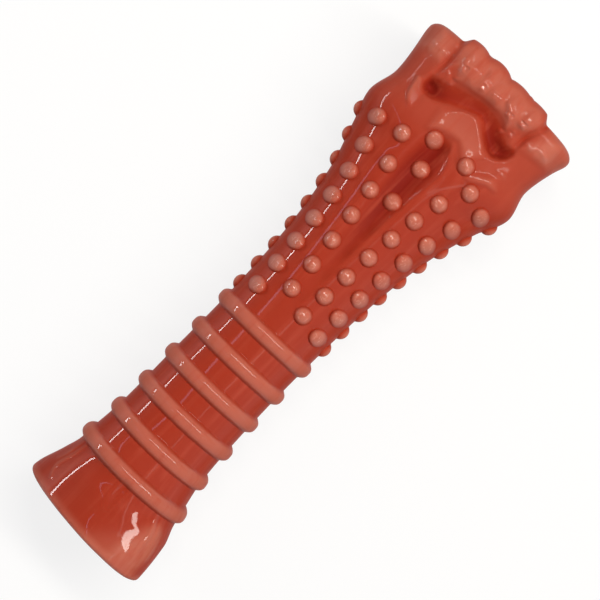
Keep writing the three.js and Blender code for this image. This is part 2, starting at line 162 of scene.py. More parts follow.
class Stroke:
    """A smooth path of knots (place, across, reach left, reach right, share of the depth) on a face."""

    STEPS = 6

    def __init__(self, depth, knots, gloss=0.0):
        self.depth = depth
        self.gloss = gloss
        knots = np.array(knots, float)
        ends = np.vstack([knots[:1], knots, knots[-1:]])
        rows = []
        for before, start, finish, after in zip(ends, ends[1:], ends[2:], ends[3:]):
            for share in np.arange(self.STEPS) / self.STEPS:
                bend = (finish - before) * share * (1 - share) ** 2
                bend = bend + (start - after) * share**2 * (1 - share)
                ease = share * share * (3 - 2 * share)
                rows.append(start + ease * (finish - start) + bend / 2)
        self.path = np.array(rows + [knots[-1]])
        reach = self.path[:, 2:4].max()
        self.low = self.path[:, :2].min(axis=0) - reach
        self.high = self.path[:, :2].max(axis=0) + reach

    def rise(self, cover, x, y):
        """Height added at each point."""
        return self.depth * cover

    def cover(self, x, y):
        """Share of the depth at each point."""
        whole = np.zeros_like(x)
        near = (x > self.low[0]) & (x < self.high[0]) & (y > self.low[1]) & (y < self.high[1])
        x, y = x[near], y[near]
        most = np.zeros_like(x)
        for a, b in zip(self.path, self.path[1:]):
            dx, dy = b[0] - a[0], b[1] - a[1]
            length = math.hypot(dx, dy)
            u = np.clip(((x - a[0]) * dx + (y - a[1]) * dy) / length**2, 0.0, 1.0)
            here = a + u[:, None] * (b - a)
            away = np.hypot(x - here[:, 0], y - here[:, 1])
            side = ((y - here[:, 1]) * dx - (x - here[:, 0]) * dy) / (length * np.maximum(away, 1e-6))
            reach = (here[:, 2] + here[:, 3]) / 2 + side * (here[:, 2] - here[:, 3]) / 2
            share = np.minimum(away / reach, 1.0)
            most = np.maximum(most, here[:, 4] * (1.0 - share**2) ** 2)
        whole[near] = most
        return whole


def ridge(depth, *knots, gloss=0.0):
    """A stroke that reaches as far left as right, of knots (place, across, reach, share of the depth)."""
    both_sides = [(place, across, reach, reach, share) for place, across, reach, share in knots]
    return Stroke(depth, both_sides, gloss)


class Facet:
    """A flat patch inside corners (place, across, softness of the border) that leans by two slopes."""

    def __init__(self, rise, slope_x, slope_y, corners, gloss=0.0):
        self.middle_rise = rise
        self.gloss = gloss
        self.slopes = slope_x, slope_y
        self.corners = np.array(corners, float)
        self.middle = self.corners.mean(axis=0)
        reach = self.corners[:, 2].max()
        self.low = self.corners.min(axis=0) - reach
        self.high = self.corners.max(axis=0) + reach

    def rise(self, cover, x, y):
        """Height added at each point."""
        lean = self.slopes[0] * (x - self.middle[0]) + self.slopes[1] * (y - self.middle[1])
        return cover * (self.middle_rise + lean)

    def cover(self, x, y):
        """How far each point is inside the patch, from 0 to 1. The nearest borders set the softness."""
        whole = np.zeros_like(x)
        near = (x > self.low[0]) & (x < self.high[0]) & (y > self.low[1]) & (y < self.high[1])
        x, y = x[near], y[near]
        inside = np.zeros(len(x), bool)
        weight = np.full(len(x), 1e-9)
        away = np.full(len(x), np.inf)
        soft = np.zeros(len(x))
        for a, b in zip(self.corners, np.roll(self.corners, -1, axis=0)):
            dx, dy, change = b - a
            u = np.clip(((x - a[0]) * dx + (y - a[1]) * dy) / (dx * dx + dy * dy), 0.0, 1.0)
            gap = np.hypot(x - a[0] - u * dx, y - a[1] - u * dy)
            away = np.minimum(away, gap)
            pull = 1.0 / (gap + 0.05) ** 3
            soft += pull * (a[2] + u * change)
            weight += pull
            if dy:
                inside ^= ((a[1] > y) != (b[1] > y)) & (x < a[0] + (y - a[1]) * dx / dy)
        whole[near] = smoothstep(np.where(inside, away, -away) * weight / soft, -1.0, 1.0)
        return whole


class BoneSurface:
    """The moulded surface of the bone, in millimetres from the foot's flat end and from the axis."""

    def __init__(self, shape):
        self.shape = shape
        self.foot_round = shape.foot_round / MM
        self.head_round = shape.head_round / MM
        neck = RING_RADII[-1] - shape.ring_rise / MM
        throat = RING_RADII[0] - shape.ring_rise / MM
        foot_height = shape.foot_half_height / MM
        past_ring_5 = SHAFT_START + 13.0
        self.outline = Outline(
            [
                (0.0, FOOT_HALF_WIDTH, foot_height, 1.95, 0.0, shape.foot_lean),
                (on_foot(0.56), 21.9, 19.9, 1.95, 1.2, shape.foot_lean / 3),
                (on_foot(0.8), 20.1, 19.2, 1.95, 1.0, 0.03),
                (SHAFT_START, neck, neck, 2.0, 0.6, 0.0),
                (past_ring_5, 17.6, 17.6, 2.0, 0.0, 0.0),
                ((past_ring_5 + SHANK_START) / 2, 16.9, 16.9, 2.0, -0.3, 0.0),
                (SHANK_START, throat, throat, 2.0, 0.0, 0.0),
                (on_shank(0.33), 17.9, 17.2, 2.0, 0.2, 0.0),
                (on_shank(0.61), 21.1, 17.6, 2.0, 0.2, 0.0),
                (on_shank(0.8), 25.9, 18.1, 2.0, 0.2, 0.0),
                (on_shank(0.92), 29.6, 18.4, 2.5, 0.8, 0.0),
                (on_head(0.14), 27.6, 18.1, 2.8, 0.8, 0.0),
                (on_head(0.79), HORN_HALF_WIDTH, 18.8, 3.0, 1.5, 0.0),
                (BONE_END, HORN_HALF_WIDTH, 18.8, 3.0, 1.5, 0.0),
            ]
        )
        self.forms = self.foot_forms() + self.shank_forms() + self.lip_forms()
        self.forms += self.valley_forms() + self.crest_forms() + self.horn_forms() + self.crest_flats()

    def foot_forms(self):
        """Swells and thin folds of the foot."""
        fold, lobe = self.shape.foot_fold / MM, self.shape.foot_lobe / MM
        return [
            # Swell of the left flank with its two thin ridges
            ridge(0.35, (4.0, 17.0, 7.0, 0.8), (10.0, 17.5, 7.0, 1.0), (16.0, 16.0, 6.0, 0.6)),
            ridge(fold, (4.6, 17.2, 0.8, 0.6), (9.5, 19.2, 0.8, 1.0), (21.0, 16.4, 0.8, 0.8)),
            ridge(fold, (10.0, 20.6, 0.8, 0.6), (14.5, 19.5, 0.8, 1.0), (21.0, 18.0, 0.8, 0.8)),
            # Right lobe, the shallow crease beside it and the two ridges of the right flank
            Stroke(lobe, [(0.5, -7.0, 11.0, 12.0, 0.5), (5.5, -12.5, 10.0, 9.0, 0.5)]),
            Stroke(
                lobe,
                [(2.0, -18.0, 9.0, 6.0, 0.8), (8.0, -18.5, 9.0, 5.0, 1.0), (14.0, -17.0, 8.0, 5.0, 0.8)],
            ),
            ridge(-fold, (12.0, -0.6, 1.6, 0.3), (16.0, -0.2, 2.0, 1.0), (21.0, -0.6, 2.2, 1.0)),
            ridge(fold, (9.4, -16.9, 0.9, 0.5), (15.5, -15.7, 0.9, 1.0), (20.5, -13.3, 0.9, 0.8)),
            ridge(fold, (8.0, -20.8, 1.5, 0.5), (14.0, -18.1, 1.5, 1.0), (19.5, -16.0, 1.3, 0.8)),
        ]

    def shank_forms(self):
        """Long channel of the shank."""
        return [
            # The long channel, gentle on its left and steep on its right
            Stroke(
                -self.shape.flute_depth / MM,
                [
                    (96.0, 0.0, 5.0, 2.4, 0.06),
                    (108.0, 0.0, 6.0, 3.2, 0.28),
                    (120.0, 0.2, 7.0, 4.4, 0.54),
                    (132.0, 0.4, 7.6, 5.6, 0.78),
                    (144.0, 0.6, 8.0, 6.8, 0.95),
                    (152.0, 1.0, 8.0, 7.4, 1.0),
                    (158.0, 1.6, 7.2, 6.0, 0.85),
                ],
            ),
            # The dish round its end
            Stroke(
                -self.shape.dish_depth / MM,
                [(132.0, 1.0, 8.0, 5.0, 0.3), (147.0, 2.0, 10.0, 7.0, 0.8), (157.5, 1.6, 11.0, 9.0, 1.0)],
            ),
            # The thin ridge along its right side
            ridge(
                0.3,
                (112.0, -1.9, 0.9, 0.3),
                (124.0, -2.6, 1.0, 0.5),
                (139.0, -3.7, 1.2, 0.8),
                (151.0, -5.4, 1.3, 1.0),
                (156.5, -4.4, 1.3, 1.0),
                (160.5, -2.3, 1.2, 1.0),
                (163.0, -1.4, 1.0, 0.5),
            ),
        ]

    def lip_forms(self):
        """Tongue-shaped lip at the end of the flute, its arms and the lozenge."""
        lip = self.shape.lip_rise / MM
        return [
            # Tongue
            Facet(
                lip,
                -0.05,
                0.0,
                [
                    (162.1, 8.0, 2.0),
                    (164.0, 3.9, 1.6),
                    (164.8, 0.9, 1.4),
                    (165.0, -1.5, 1.4),
                    (163.8, -3.6, 1.6),
                    (161.4, -6.3, 2.0),
                    (166.8, -10.3, 0.8),
                    (169.5, -7.3, 0.6),
                    (171.3, -4.8, 0.6),
                    (173.4, -1.5, 0.6),
                    (174.3, 0.9, 0.6),
                    (172.8, 3.9, 0.6),
                    (170.7, 6.3, 0.8),
                    (168.4, 9.0, 2.4),
                ],
                gloss=0.3,
            ),
            # Left arm, right arm, and the swell on the right with its shiny bead
            Stroke(
                0.2 * lip,
                [(155.5, 13.4, 1.0, 1.0, 0.4), (160.5, 10.4, 1.2, 1.2, 0.7), (165.0, 6.4, 1.6, 1.4, 1.0)],
            ),
            Stroke(
                0.9 * lip,
                [
                    (163.0, -6.8, 2.2, 1.8, 0.5),
                    (159.4, -10.8, 2.4, 2.0, 0.7),
                    (160.6, -13.8, 2.8, 1.8, 0.9),
                    (162.0, -16.4, 3.0, 1.6, 1.0),
                    (162.3, -19.6, 2.6, 1.6, 0.6),
                ],
            ),
            ridge(0.5 * lip, (163.6, -17.6, 3.0, 0.6), (167.0, -18.2, 3.2, 1.0), (169.6, -19.4, 2.6, 0.5)),
            ridge(
                0.25,
                (166.9, -16.6, 0.9, 0.6),
                (167.3, -18.2, 0.9, 1.0),
                (166.9, -19.6, 0.9, 0.6),
                gloss=1.0,
            ),
            # Lozenge beside the left horn
            Facet(
                self.shape.lozenge_rise / MM,
                -0.06,
                0.34,
                [
                    (161.4, 15.6, 0.8),
                    (163.8, 18.9, 0.5),
                    (165.6, 20.0, 0.5),
                    (168.0, 20.7, 0.6),
                    (171.0, 21.3, 0.6),
                    (171.9, 20.4, 0.6),
                    (170.1, 17.7, 0.7),
                    (168.9, 16.0, 0.6),
                ],
                gloss=-0.08,
            ),
        ]

    def valley_forms(self):
        """Valley between the lip and the crest, with two pits beside the tongue and a thin ridge across."""
        return [
            Stroke(
                -self.shape.valley_depth / MM,
                [
                    (173.0, 17.4, 2.6, 2.4, 0.3),
                    (171.3, 15.8, 4.6, 3.4, 1.0),
                    (171.5, 12.6, 6.0, 3.4, 0.72),
                    (172.9, 9.4, 6.4, 3.0, 0.56),
                    (174.8, 4.6, 6.4, 2.8, 0.52),
                    (176.2, 0.1, 6.0, 2.8, 0.54),
                    (175.5, -3.2, 6.0, 2.8, 0.58),
                    (173.6, -5.9, 6.2, 3.0, 0.68),
                    (171.8, -8.7, 6.0, 3.2, 0.86),
                    (170.8, -11.4, 5.0, 3.2, 1.0),
                    (171.8, -13.6, 3.8, 2.8, 0.8),
                    (173.2, -15.0, 2.4, 2.2, 0.35),
                ],
            ),
            ridge(0.25, (174.3, 0.4, 0.7, 0.7), (176.2, -1.4, 0.7, 1.0), (180.8, -1.7, 0.7, 0.5)),
        ]

    def crest_forms(self):
        """Crest that falls away to the scalloped end, with the lumps and beads of its inner edge."""
        lump, bead = self.shape.lump_rise / MM, self.shape.bead_rise / MM
        beads = (
            ((182.2, 5.9, 0.9, 0.7), (182.3, 4.0, 0.9, 0.9)),
            ((183.0, 1.2, 0.9, 0.8), (183.0, -1.4, 0.9, 0.8)),
            ((179.6, -8.4, 0.9, 0.7), (181.6, -6.2, 0.9, 0.9), (183.6, -4.2, 0.9, 0.7)),
            ((176.4, -8.2, 1.0, 1.0), (176.6, -8.6, 1.0, 1.0)),
            ((177.8, -10.6, 1.1, 0.8), (178.4, -11.4, 1.1, 0.8)),
            ((175.4, 12.9, 0.8, 0.8), (178.2, 12.2, 0.8, 0.8)),
            ((179.8, 12.6, 0.8, 0.6), (182.2, 13.4, 0.9, 0.9), (184.2, 14.2, 0.9, 0.8)),
        )
        forms = [
            Stroke(
                self.shape.crest_rise / MM,
                [
                    (186.5, 17.0, 6.0, 3.0, 0.6),
                    (184.4, 13.4, 9.0, 5.6, 0.9),
                    (183.4, 9.0, 10.0, 7.4, 1.0),
                    (183.6, 1.0, 10.0, 7.6, 1.0),
                    (183.4, -6.0, 10.0, 7.4, 1.0),
                    (184.0, -11.4, 9.5, 5.6, 0.9),
                    (185.5, -14.8, 7.0, 3.0, 0.6),
                ],
            ),
            # Lumps with flat tops, from the left to the right
            Facet(
                lump,
                -0.08,
                -0.05,
                [
                    (179.0, 12.0, 2.0),
                    (183.0, 13.2, 1.2),
                    (188.5, 10.4, 2.0),
                    (184.4, 7.8, 0.8),
                    (179.8, 8.2, 1.8),
                ],
            ),
            Facet(
                lump,
                -0.1,
                0.0,
                [
                    (179.6, 6.4, 1.8),
                    (184.0, 7.0, 0.8),
                    (189.5, 5.4, 2.0),
                    (184.0, 3.6, 1.0),
                    (180.1, 4.0, 1.8),
                ],
            ),
            Facet(
                lump,
                -0.1,
                0.0,
                [
                    (180.2, 2.2, 1.8),
                    (184.0, 2.4, 1.0),
                    (187.0, 0.2, 2.0),
                    (184.0, -2.0, 1.0),
                    (180.2, -2.0, 1.8),
                ],
            ),
            Facet(
                1.2 * lump,
                -0.1,
                0.0,
                [
                    (177.8, -8.6, 1.3),
                    (179.8, -6.7, 1.3),
                    (183.2, -3.6, 0.8),
                    (189.0, -3.6, 2.0),
                    (187.0, -7.6, 1.6),
                    (182.2, -8.6, 0.8),
                ],
            ),
            # Round lumps at both ends of the crest and the notch between two flat ones
            ridge(
                1.2 * lump,
                (182.0, -11.4, 2.0, 1.0),
                (183.4, -11.9, 2.2, 1.0),
                (188.0, -12.0, 2.4, 0.5),
                gloss=0.6,
            ),
            ridge(0.8 * lump, (183.0, 13.8, 2.2, 0.6), (189.0, 13.6, 3.0, 0.8)),
            ridge(-0.5 * lump, (184.6, 6.8, 1.0, 1.0), (186.0, 7.2, 1.2, 1.0)),
            # Long bead at the left end
            ridge(
                bead,
                (173.6, 14.4, 0.9, 0.4),
                (177.0, 14.7, 0.9, 0.8),
                (178.4, 16.1, 0.9, 1.0),
                (180.2, 16.2, 0.9, 0.9),
                (181.8, 15.4, 0.9, 0.5),
                gloss=0.7,
            ),
        ]
        return forms + [ridge(bead, *knots, gloss=1.0) for knots in beads]

    def horn_forms(self):
        """Horn at each corner of the head, with the groove that parts it from the crest."""
        horn, groove = self.shape.horn_rise / MM, self.shape.groove_depth / MM
        return [
            # Flat crowns, left and right
            Facet(
                horn,
                -0.08,
                0.2,
                [(178.6, 19.6, 2.4), (190.0, 19.8, 1.6), (190.0, 26.4, 2.6), (180.2, 26.0, 2.6)],
            ),
            Facet(
                horn,
                -0.1,
                -0.18,
                [(176.6, -16.2, 2.2), (190.0, -17.2, 1.6), (190.0, -24.6, 2.6), (178.6, -25.0, 2.4)],
            ),
            # Shiny inner edges, left and right
            ridge(
                0.35,
                (182.2, 19.4, 1.6, 0.6),
                (182.5, 22.0, 1.6, 1.0),
                (182.8, 25.0, 1.6, 0.6),
                gloss=2.0,
            ),
            ridge(
                0.4,
                (179.2, -16.8, 1.4, 0.8),
                (178.6, -18.4, 1.2, 1.0),
                (180.4, -20.4, 1.3, 1.0),
                (179.6, -23.6, 1.4, 0.7),
                gloss=2.0,
            ),
            # Grooves, left and right
            ridge(-groove, (174.0, 18.0, 1.6, 0.4), (179.0, 18.2, 1.4, 1.0), (190.0, 18.8, 1.4, 0.9)),
            ridge(
                -groove,
                (173.6, -15.2, 1.8, 0.4),
                (178.6, -14.8, 1.6, 1.0),
                (183.2, -15.6, 1.5, 1.0),
                (190.0, -17.0, 1.5, 0.9),
            ),
        ]

    def crest_flats(self):
        """Small shiny flats along the crest: place, across, half-sizes, and slopes against the crest."""
        softness = 0.3
        corners = ((-1, -1), (1, -1), (1, 1), (-1, 1))
        flats = (
            (176.7, 12.6, 1.0, 0.7, -0.6, 0.12),
            (181.7, 12.8, 1.1, 0.8, -0.57, 0.18),
            (181.6, 4.9, 0.8, 0.9, -0.77, -0.13),
            (182.8, 0.4, 0.6, 1.4, -0.4, 0.13),
            (181.9, -11.6, 0.9, 1.0, -0.66, -0.27),
            (176.4, -8.3, 0.7, 0.7, -0.85, 0.34),
            (177.5, -10.9, 0.7, 0.9, -0.64, -0.2),
            (181.1, -6.5, 0.7, 0.9, -0.87, 0.54),
        )
        return [
            Facet(
                0.0,
                slope_x,
                slope_y,
                [(x + i * long, y + j * wide, softness) for i, j in corners],
                gloss=2.0,
            )
            for x, y, long, wide, slope_x, slope_y in flats
        ]

    def end_setback(self, y):
        """How far the scalloped end lies behind the tip of the crest."""
        lumps = ((14.0, 0.0), (5.3, -0.2), (-3.9, 0.3), (-11.7, 0.5))
        notch = 1.3
        half_lump = 4.8
        back = notch
        for middle, tip in lumps:
            lobe = np.maximum(1.0 - ((y - middle) / half_lump) ** 2, 0.0) ** 0.8
            back = back - (notch - tip) * lobe
        crest_middle = 1.2
        outside = smoothstep(np.abs(y - crest_middle), 15.6, 18.2)
        return back + outside * (self.shape.horn_setback / MM - back)

    def points(self, place, angle):
        """Points at places and at angles from the top towards +Y, with the relief and extra shine there."""
        start = np.clip(1.0 - place / self.foot_round, 0.0, 1.0) * math.pi / 2
        finish = np.clip(1.0 - (BONE_END - place) / self.head_round, 0.0, 1.0) * math.pi / 2
        inset = self.foot_round * (1 - np.cos(start)) + self.head_round * (1 - np.cos(finish))
        x = np.where(start > 0, self.foot_round * (1 - np.sin(start)), place)
        x = np.where(finish > 0, BONE_END - self.head_round * (1 - np.sin(finish)), x)
        width, height, section, bow, lean = self.outline.at(x).T
        power = 2.0 / section
        side = np.sign(np.sin(angle)) * np.abs(np.sin(angle)) ** power
        upright = np.sign(np.cos(angle)) * np.abs(np.cos(angle)) ** power
        face = np.where(upright < 0, -1.0, 1.0)
        across = (width - inset) * side
        covers = [(form, form.cover(x, face * across)) for form in self.forms]
        shine = sum(form.gloss * cover for form, cover in covers)
        relief = sum(form.rise(cover, x, face * across) for form, cover in covers)
        off_flank = smoothstep(np.abs(upright), 0.1, 0.45)
        relief = relief * off_flank
        z = (height - inset) * upright - lean * across + face * relief
        near_head = smoothstep(x, on_head(0.5), BONE_END)
        near_end = near_head + 1 - smoothstep(x, 0.0, SHAFT_START)
        x = x + near_end * END_SKEW * across - near_head * self.end_setback(across)
        return np.stack([x, across - bow, z], axis=1), relief, shine

    def patch(self, place, angle, offsets, drawn):
        """Surface points over flat offsets from one place, and the direction that a nub stands in."""
        step, turn, rounds = 0.4, 0.02, 8
        places = np.array([place, place + step, place - step, place, place])
        angles = np.array([angle, angle, angle, angle + turn, angle - turn])
        point, ahead, behind, left, right = self.points(places, angles)[0]
        along, around = (ahead - behind) / (2 * step), (left - right) / (2 * turn)
        normal = np.cross(along, around)
        normal = normal / np.linalg.norm(normal)
        first = along / np.linalg.norm(along)
        if drawn:
            normal = np.array([0.0, 0.0, math.copysign(1.0, math.cos(angle))])
            first = np.array([1.0, 0.0, 0.0])
        flat = np.stack([first, np.cross(normal, first)])
        back = np.linalg.inv(np.stack([flat @ along, flat @ around], axis=1))
        spots = np.tile([place, angle], (len(offsets), 1)) + offsets @ back.T
        for _ in range(rounds):
            found = self.points(spots[:, 0], spots[:, 1])[0]
            spots = spots + (offsets - (found - point) @ flat.T) @ back.T
        return self.points(spots[:, 0], spots[:, 1])[0], normal


def spin_about_bone(bm, steps):
    """Turns the outline in a bmesh once round the X axis."""
    bmesh.ops.spin(
        bm,
        geom=bm.verts[:] + bm.edges[:],
        cent=(0.0, 0.0, 0.0),
        axis=(1.0, 0.0, 0.0),
        angle=2 * math.pi,
        steps=steps,
        use_merge=True,
    )


def spun_bar(start, end, along, across, around):
    """Closed bar of radius 1 about X, finely divided along its side and across its two ends."""
    bm = bmesh.new()
    corners = [(start, 0.0), (start, 1.0), (end, 1.0), (end, 0.0)]
    verts = [bm.verts.new((x, 0.0, radius)) for x, radius in corners]
    edges = [bm.edges.new(pair) for pair in zip(verts, verts[1:])]
    for edge, cuts in zip(edges, (across, along, across)):
        bmesh.ops.subdivide_edges(bm, edges=[edge], cuts=cuts)
    spin_about_bone(bm, around)
    bmesh.ops.remove_doubles(bm, verts=bm.verts[:], dist=1e-5)
    return bm


def bar_coordinates(bm):
    """Place along X, angle from the top towards +Y and distance from the axis of every vertex."""
    raw = np.array([vert.co[:] for vert in bm.verts])
    return raw[:, 0], np.arctan2(raw[:, 1], raw[:, 2]), np.hypot(raw[:, 1], raw[:, 2])


def set_points(bm, verts, points, raised, polish):
    """Moves vertices to points in millimetres on the bone, and stores how raised and polished each is; the
    raised share sets the colour, with its painted sheen, painted reflection and painted shade.
    """
    layers = bm.verts.layers.float
    raised_layer = layers.get("raised") or layers.new("raised")
    polish_layer = layers.get("polish") or layers.new("polish")
    for vert, point, proud, shine in zip(verts, points, raised, polish):
        vert.co = in_frame(*point)
        vert[raised_layer] = proud
        vert[polish_layer] = shine


def add_object(name, data):
    """Adds an object with the given data to the scene."""
    made = bpy.data.objects.new(name, data)
    bpy.context.scene.collection.objects.link(made)
    return made


def add_mesh(name, bm, material):
    """Adds an object of one material, made from a bmesh that is then freed."""
    mesh = bpy.data.meshes.new(name)
    bm.to_mesh(mesh)
    bm.free()
    mesh.materials.append(material)
    return add_object(name, mesh)


def make_piece(name, bm, material, *nodes):
    """Turns a bmesh into a smooth piece that stands for the given CAD nodes."""
    bmesh.ops.remove_doubles(bm, verts=bm.verts[:], dist=1e-8)
    bmesh.ops.recalc_face_normals(bm, faces=bm.faces[:])
    for face in bm.faces:
        face.smooth = True
    piece = add_mesh(name, bm, material)
    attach(piece, BODY)
    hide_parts(*nodes)


def skin_finish(place, across, relief, shine, on_face):
    """How raised and how polished the skin is: the head shows wear, is satin and gets a paler colour that
    is partly painted sheen, the foot's rim gets a pale painted reflection, the horns are pale with partly
    painted sheen, and the hollows get painted shade.
    """
    # Head: satin finish, and a paler colour that paints its sheen
    worn_and_sheen = smoothstep(place, on_shank(0.85), on_head(0.05))
    # Painted reflection: the foot's rounded rim gets the paler colour in place of the bright room it faces
    rim = 1.0 - smoothstep(place, 0.0, 4.0)
    # The horns get part of the paler colour, partly painted sheen
    horn = smoothstep(np.abs(across + 1.0), 17.0, 21.0) * smoothstep(place, on_head(0.4), on_head(0.6))
    # Painted shade: the hollows go towards a darker, deeper red, more so on the head
    hollow_shade = smoothstep(-relief, 0.3, 3.2) * (1.0 + 0.2 * worn_and_sheen)
    proud = (0.9 - 0.4 * worn_and_sheen) * smoothstep(relief, 0.1, 1.35)
    # Paler colour where the skin stands proud: partly whitened nylon, partly painted sheen
    raised = proud + 0.2 * worn_and_sheen + 0.8 * rim + 0.35 * horn - hollow_shade
    dull = np.maximum(smoothstep(-relief, 0.3, 1.2), worn_and_sheen * smoothstep(-relief, 0.0, 0.7))
    polish = on_face * (1.0 - 0.8 * worn_and_sheen) * (1.0 - dull) + np.minimum(shine, 2.0)
    return np.minimum(raised, MOST_RAISED), polish


def moulded_stretch(surface, start, end, along, around, across, crowd=0.0):
    """Closed part of the bone's body between two places, whose divisions may crowd towards its end."""
    bm = spun_bar(start, end, along, across, around)
    place, angle, share = bar_coordinates(bm)
    share = np.minimum(share, 1.0)
    spread = (place - start) / (end - start)
    place = start + (end - start) * spread * (1.0 + crowd * (1.0 - spread))
    squareness = surface.outline.at(place)[:, 2] / 2.0
    side = np.sign(np.sin(angle)) * np.abs(np.sin(angle)) ** squareness
    upright = np.sign(np.cos(angle)) * np.abs(np.cos(angle)) ** squareness
    angle = np.arctan2(side, upright)
    points, relief, shine = surface.points(place, angle)
    points[:, 1:] *= share[:, None]
    # The scallops of the head's end run out to a flat middle
    middle = BONE_END - surface.shape.horn_setback / MM
    on_end = (share < 0.999) & (place > BONE_END - HALF_GAP)
    points[:, 0] = np.where(on_end, middle + share**6 * (points[:, 0] - middle), points[:, 0])
    on_face = on_top(np.abs(np.cos(angle)) ** (1.0 / squareness))
    set_points(bm, bm.verts, points, *skin_finish(place, points[:, 1], relief, shine, on_face))
    return bm


class Wire:
    """A node's output that adds, subtracts and multiplies like a number."""

    def __init__(self, graph, socket):
        self.graph = graph
        self.socket = socket

    def math(self, operation, first, second):
        """Adds a Math node for two values."""
        return self.graph.add("ShaderNodeMath", {"operation": operation}, {0: first, 1: second})

    def __add__(self, other):
        return self.math("ADD", self, other)

    def __radd__(self, other):
        return self.math("ADD", other, self)

    def __sub__(self, other):
        return self.math("SUBTRACT", self, other)

    def __rsub__(self, other):
        return self.math("SUBTRACT", other, self)

    def __mul__(self, other):
        return self.math("MULTIPLY", self, other)

    def __rmul__(self, other):
        return self.math("MULTIPLY", other, self)

    def at_least(self, other):
        """The larger of this and another value."""
        return self.math("MAXIMUM", self, other)


class Graph:
    """The node tree of a material or of the world."""

    def __init__(self, owner):
        owner.use_nodes = True
        self.tree = owner.node_tree
        self.tree.nodes.clear()

    def add(self, kind, settings, inputs, output=0):
        """Adds a node, with its settings first and then its values and links."""
        node = self.tree.nodes.new(kind)
        for name, value in settings.items():
            setattr(node, name, value)
        for name, value in inputs.items():
            if isinstance(value, Wire):
                self.tree.links.new(value.socket, node.inputs[name])
            else:
                node.inputs[name].default_value = value
        return Wire(self, node.outputs[output] if len(node.outputs) else None)

    def seen(self):
        """1 for what the camera sees, straight, in a reflection or through glass, and 0 for other light."""
        camera = self.add("ShaderNodeLightPath", {}, {}, "Is Camera Ray")
        glossy = self.add("ShaderNodeLightPath", {}, {}, "Is Glossy Ray")
        glass = self.add("ShaderNodeLightPath", {}, {}, "Is Transmission Ray")
        return camera.at_least(glossy.at_least(glass))

    def mix_colours(self, share, first, second):
        """The first colour, with a share of the second mixed in."""
        return self.add("ShaderNodeMix", {"data_type": "RGBA"}, {0: share, 6: first, 7: second}, 2)

    def noise(self, where, scale, detail):
        """Soft noise, finer with a larger scale."""
        return self.add("ShaderNodeTexNoise", {}, {"Vector": where, "Scale": scale, "Detail": detail})

    def drawn_out(self, where, share):
        """Coordinates that draw a pattern out along the bone, further with a smaller share."""
        return self.add("ShaderNodeVectorMath", {"operation": "MULTIPLY"}, {0: where, 1: (share, 1.0, 1.0)})

    def smooth_range(self, value, start, end, most):
        """Smooth rise from 0 where the value is at the start to the most where it is at the end."""
        return self.add(
            "ShaderNodeMapRange",
            {"interpolation_type": "SMOOTHSTEP"},
            {"Value": value, "From Min": start, "From Max": end, "To Min": 0.0, "To Max": most},
        )


def nylon(look):
    """Red nylon, paler where the moulding stands proud, partly whitened nylon and partly painted sheen,
    with painted shade in the hollows, painted glints on the nub crowns, polished faces and satin flanks.
    """
    made = bpy.data.materials.get("Red nylon")
    if made:
        return made
    made = bpy.data.materials.new("Red nylon")
    graph = Graph(made)
    where = graph.add("ShaderNodeTexCoord", {}, {}, "Object")
    raised = graph.add("ShaderNodeAttribute", {"attribute_name": "raised"}, {}, "Fac")
    polish = graph.add("ShaderNodeAttribute", {"attribute_name": "polish"}, {}, "Fac")
    proud = raised.at_least(0.0)
    # Negative raised share: where the painted shade of the hollows goes
    hollow_shade = proud - raised
    drawn = graph.drawn_out(where, 0.35)
    cloud = graph.noise(where, 60.0, 3.0)
    streak = graph.noise(drawn, 900.0, 4.0)
    grain = graph.noise(where, 1100.0, 1.0)
    wave = graph.noise(where, 260.0, 1.0)
    drift = graph.noise(drawn, 120.0, 1.0)
    smear = graph.noise(graph.drawn_out(where, 0.06), 420.0, 2.0)
    # Crowns of the nubs, which get the pebbled bump and the painted glints
    pebble_and_sparkle = (proud * 8.0 - 7.0).at_least(0.0)
    flow = (2.5 * smear - 1.25).at_least(0.0)
    # Painted glints: pale specks on the nub crowns stand in for the broken-up highlight
    painted_sparkle = pebble_and_sparkle * (5.0 * grain - 2.6).at_least(0.0)
    # Paler where the moulding stands proud: partly whitened nylon, partly painted sheen
    base = graph.mix_colours(proud, look.skin_colour, look.raised_whitening_and_sheen)
    # Painted shade: darker, deeper red in the hollows
    base = graph.mix_colours(hollow_shade, base, look.hollow_shade_colour)
    base = graph.mix_colours(0.2 * cloud + 0.8 * flow, base, look.pale_colour)
    base = graph.mix_colours(0.4 * painted_sparkle, base, look.painted_sparkle_colour)
    rough = look.satin_roughness + polish * (look.gloss_roughness - look.satin_roughness)
    rough = rough + (streak - 0.5) * 0.10
    # Heights in millimetres: the polished faces are flatter, the tops of the nubs are pebbled
    height = streak * 0.006 + grain * (0.006 + pebble_and_sparkle * 0.015) + wave * (0.1 - polish * 0.08) + drift * 0.12
    skin = graph.add("ShaderNodeBump", {}, {"Strength": 1.0, "Distance": MM, "Height": height})
    shader = graph.add(
        "ShaderNodeBsdfPrincipled",
        {},
        {
            "Base Color": base,
            "Roughness": rough,
            "Normal": skin,
            "IOR": 1.53,
            "Specular IOR Level": 0.035,
            "Coat Weight": look.coat * polish,
            "Coat Roughness": 0.04,
            "Subsurface Weight": look.glow,
            "Subsurface Radius": (1.0, 0.25, 0.15),
            "Subsurface Scale": 0.002,
        },
    )
    graph.add("ShaderNodeOutputMaterial", {}, {"Surface": shader})
    return made


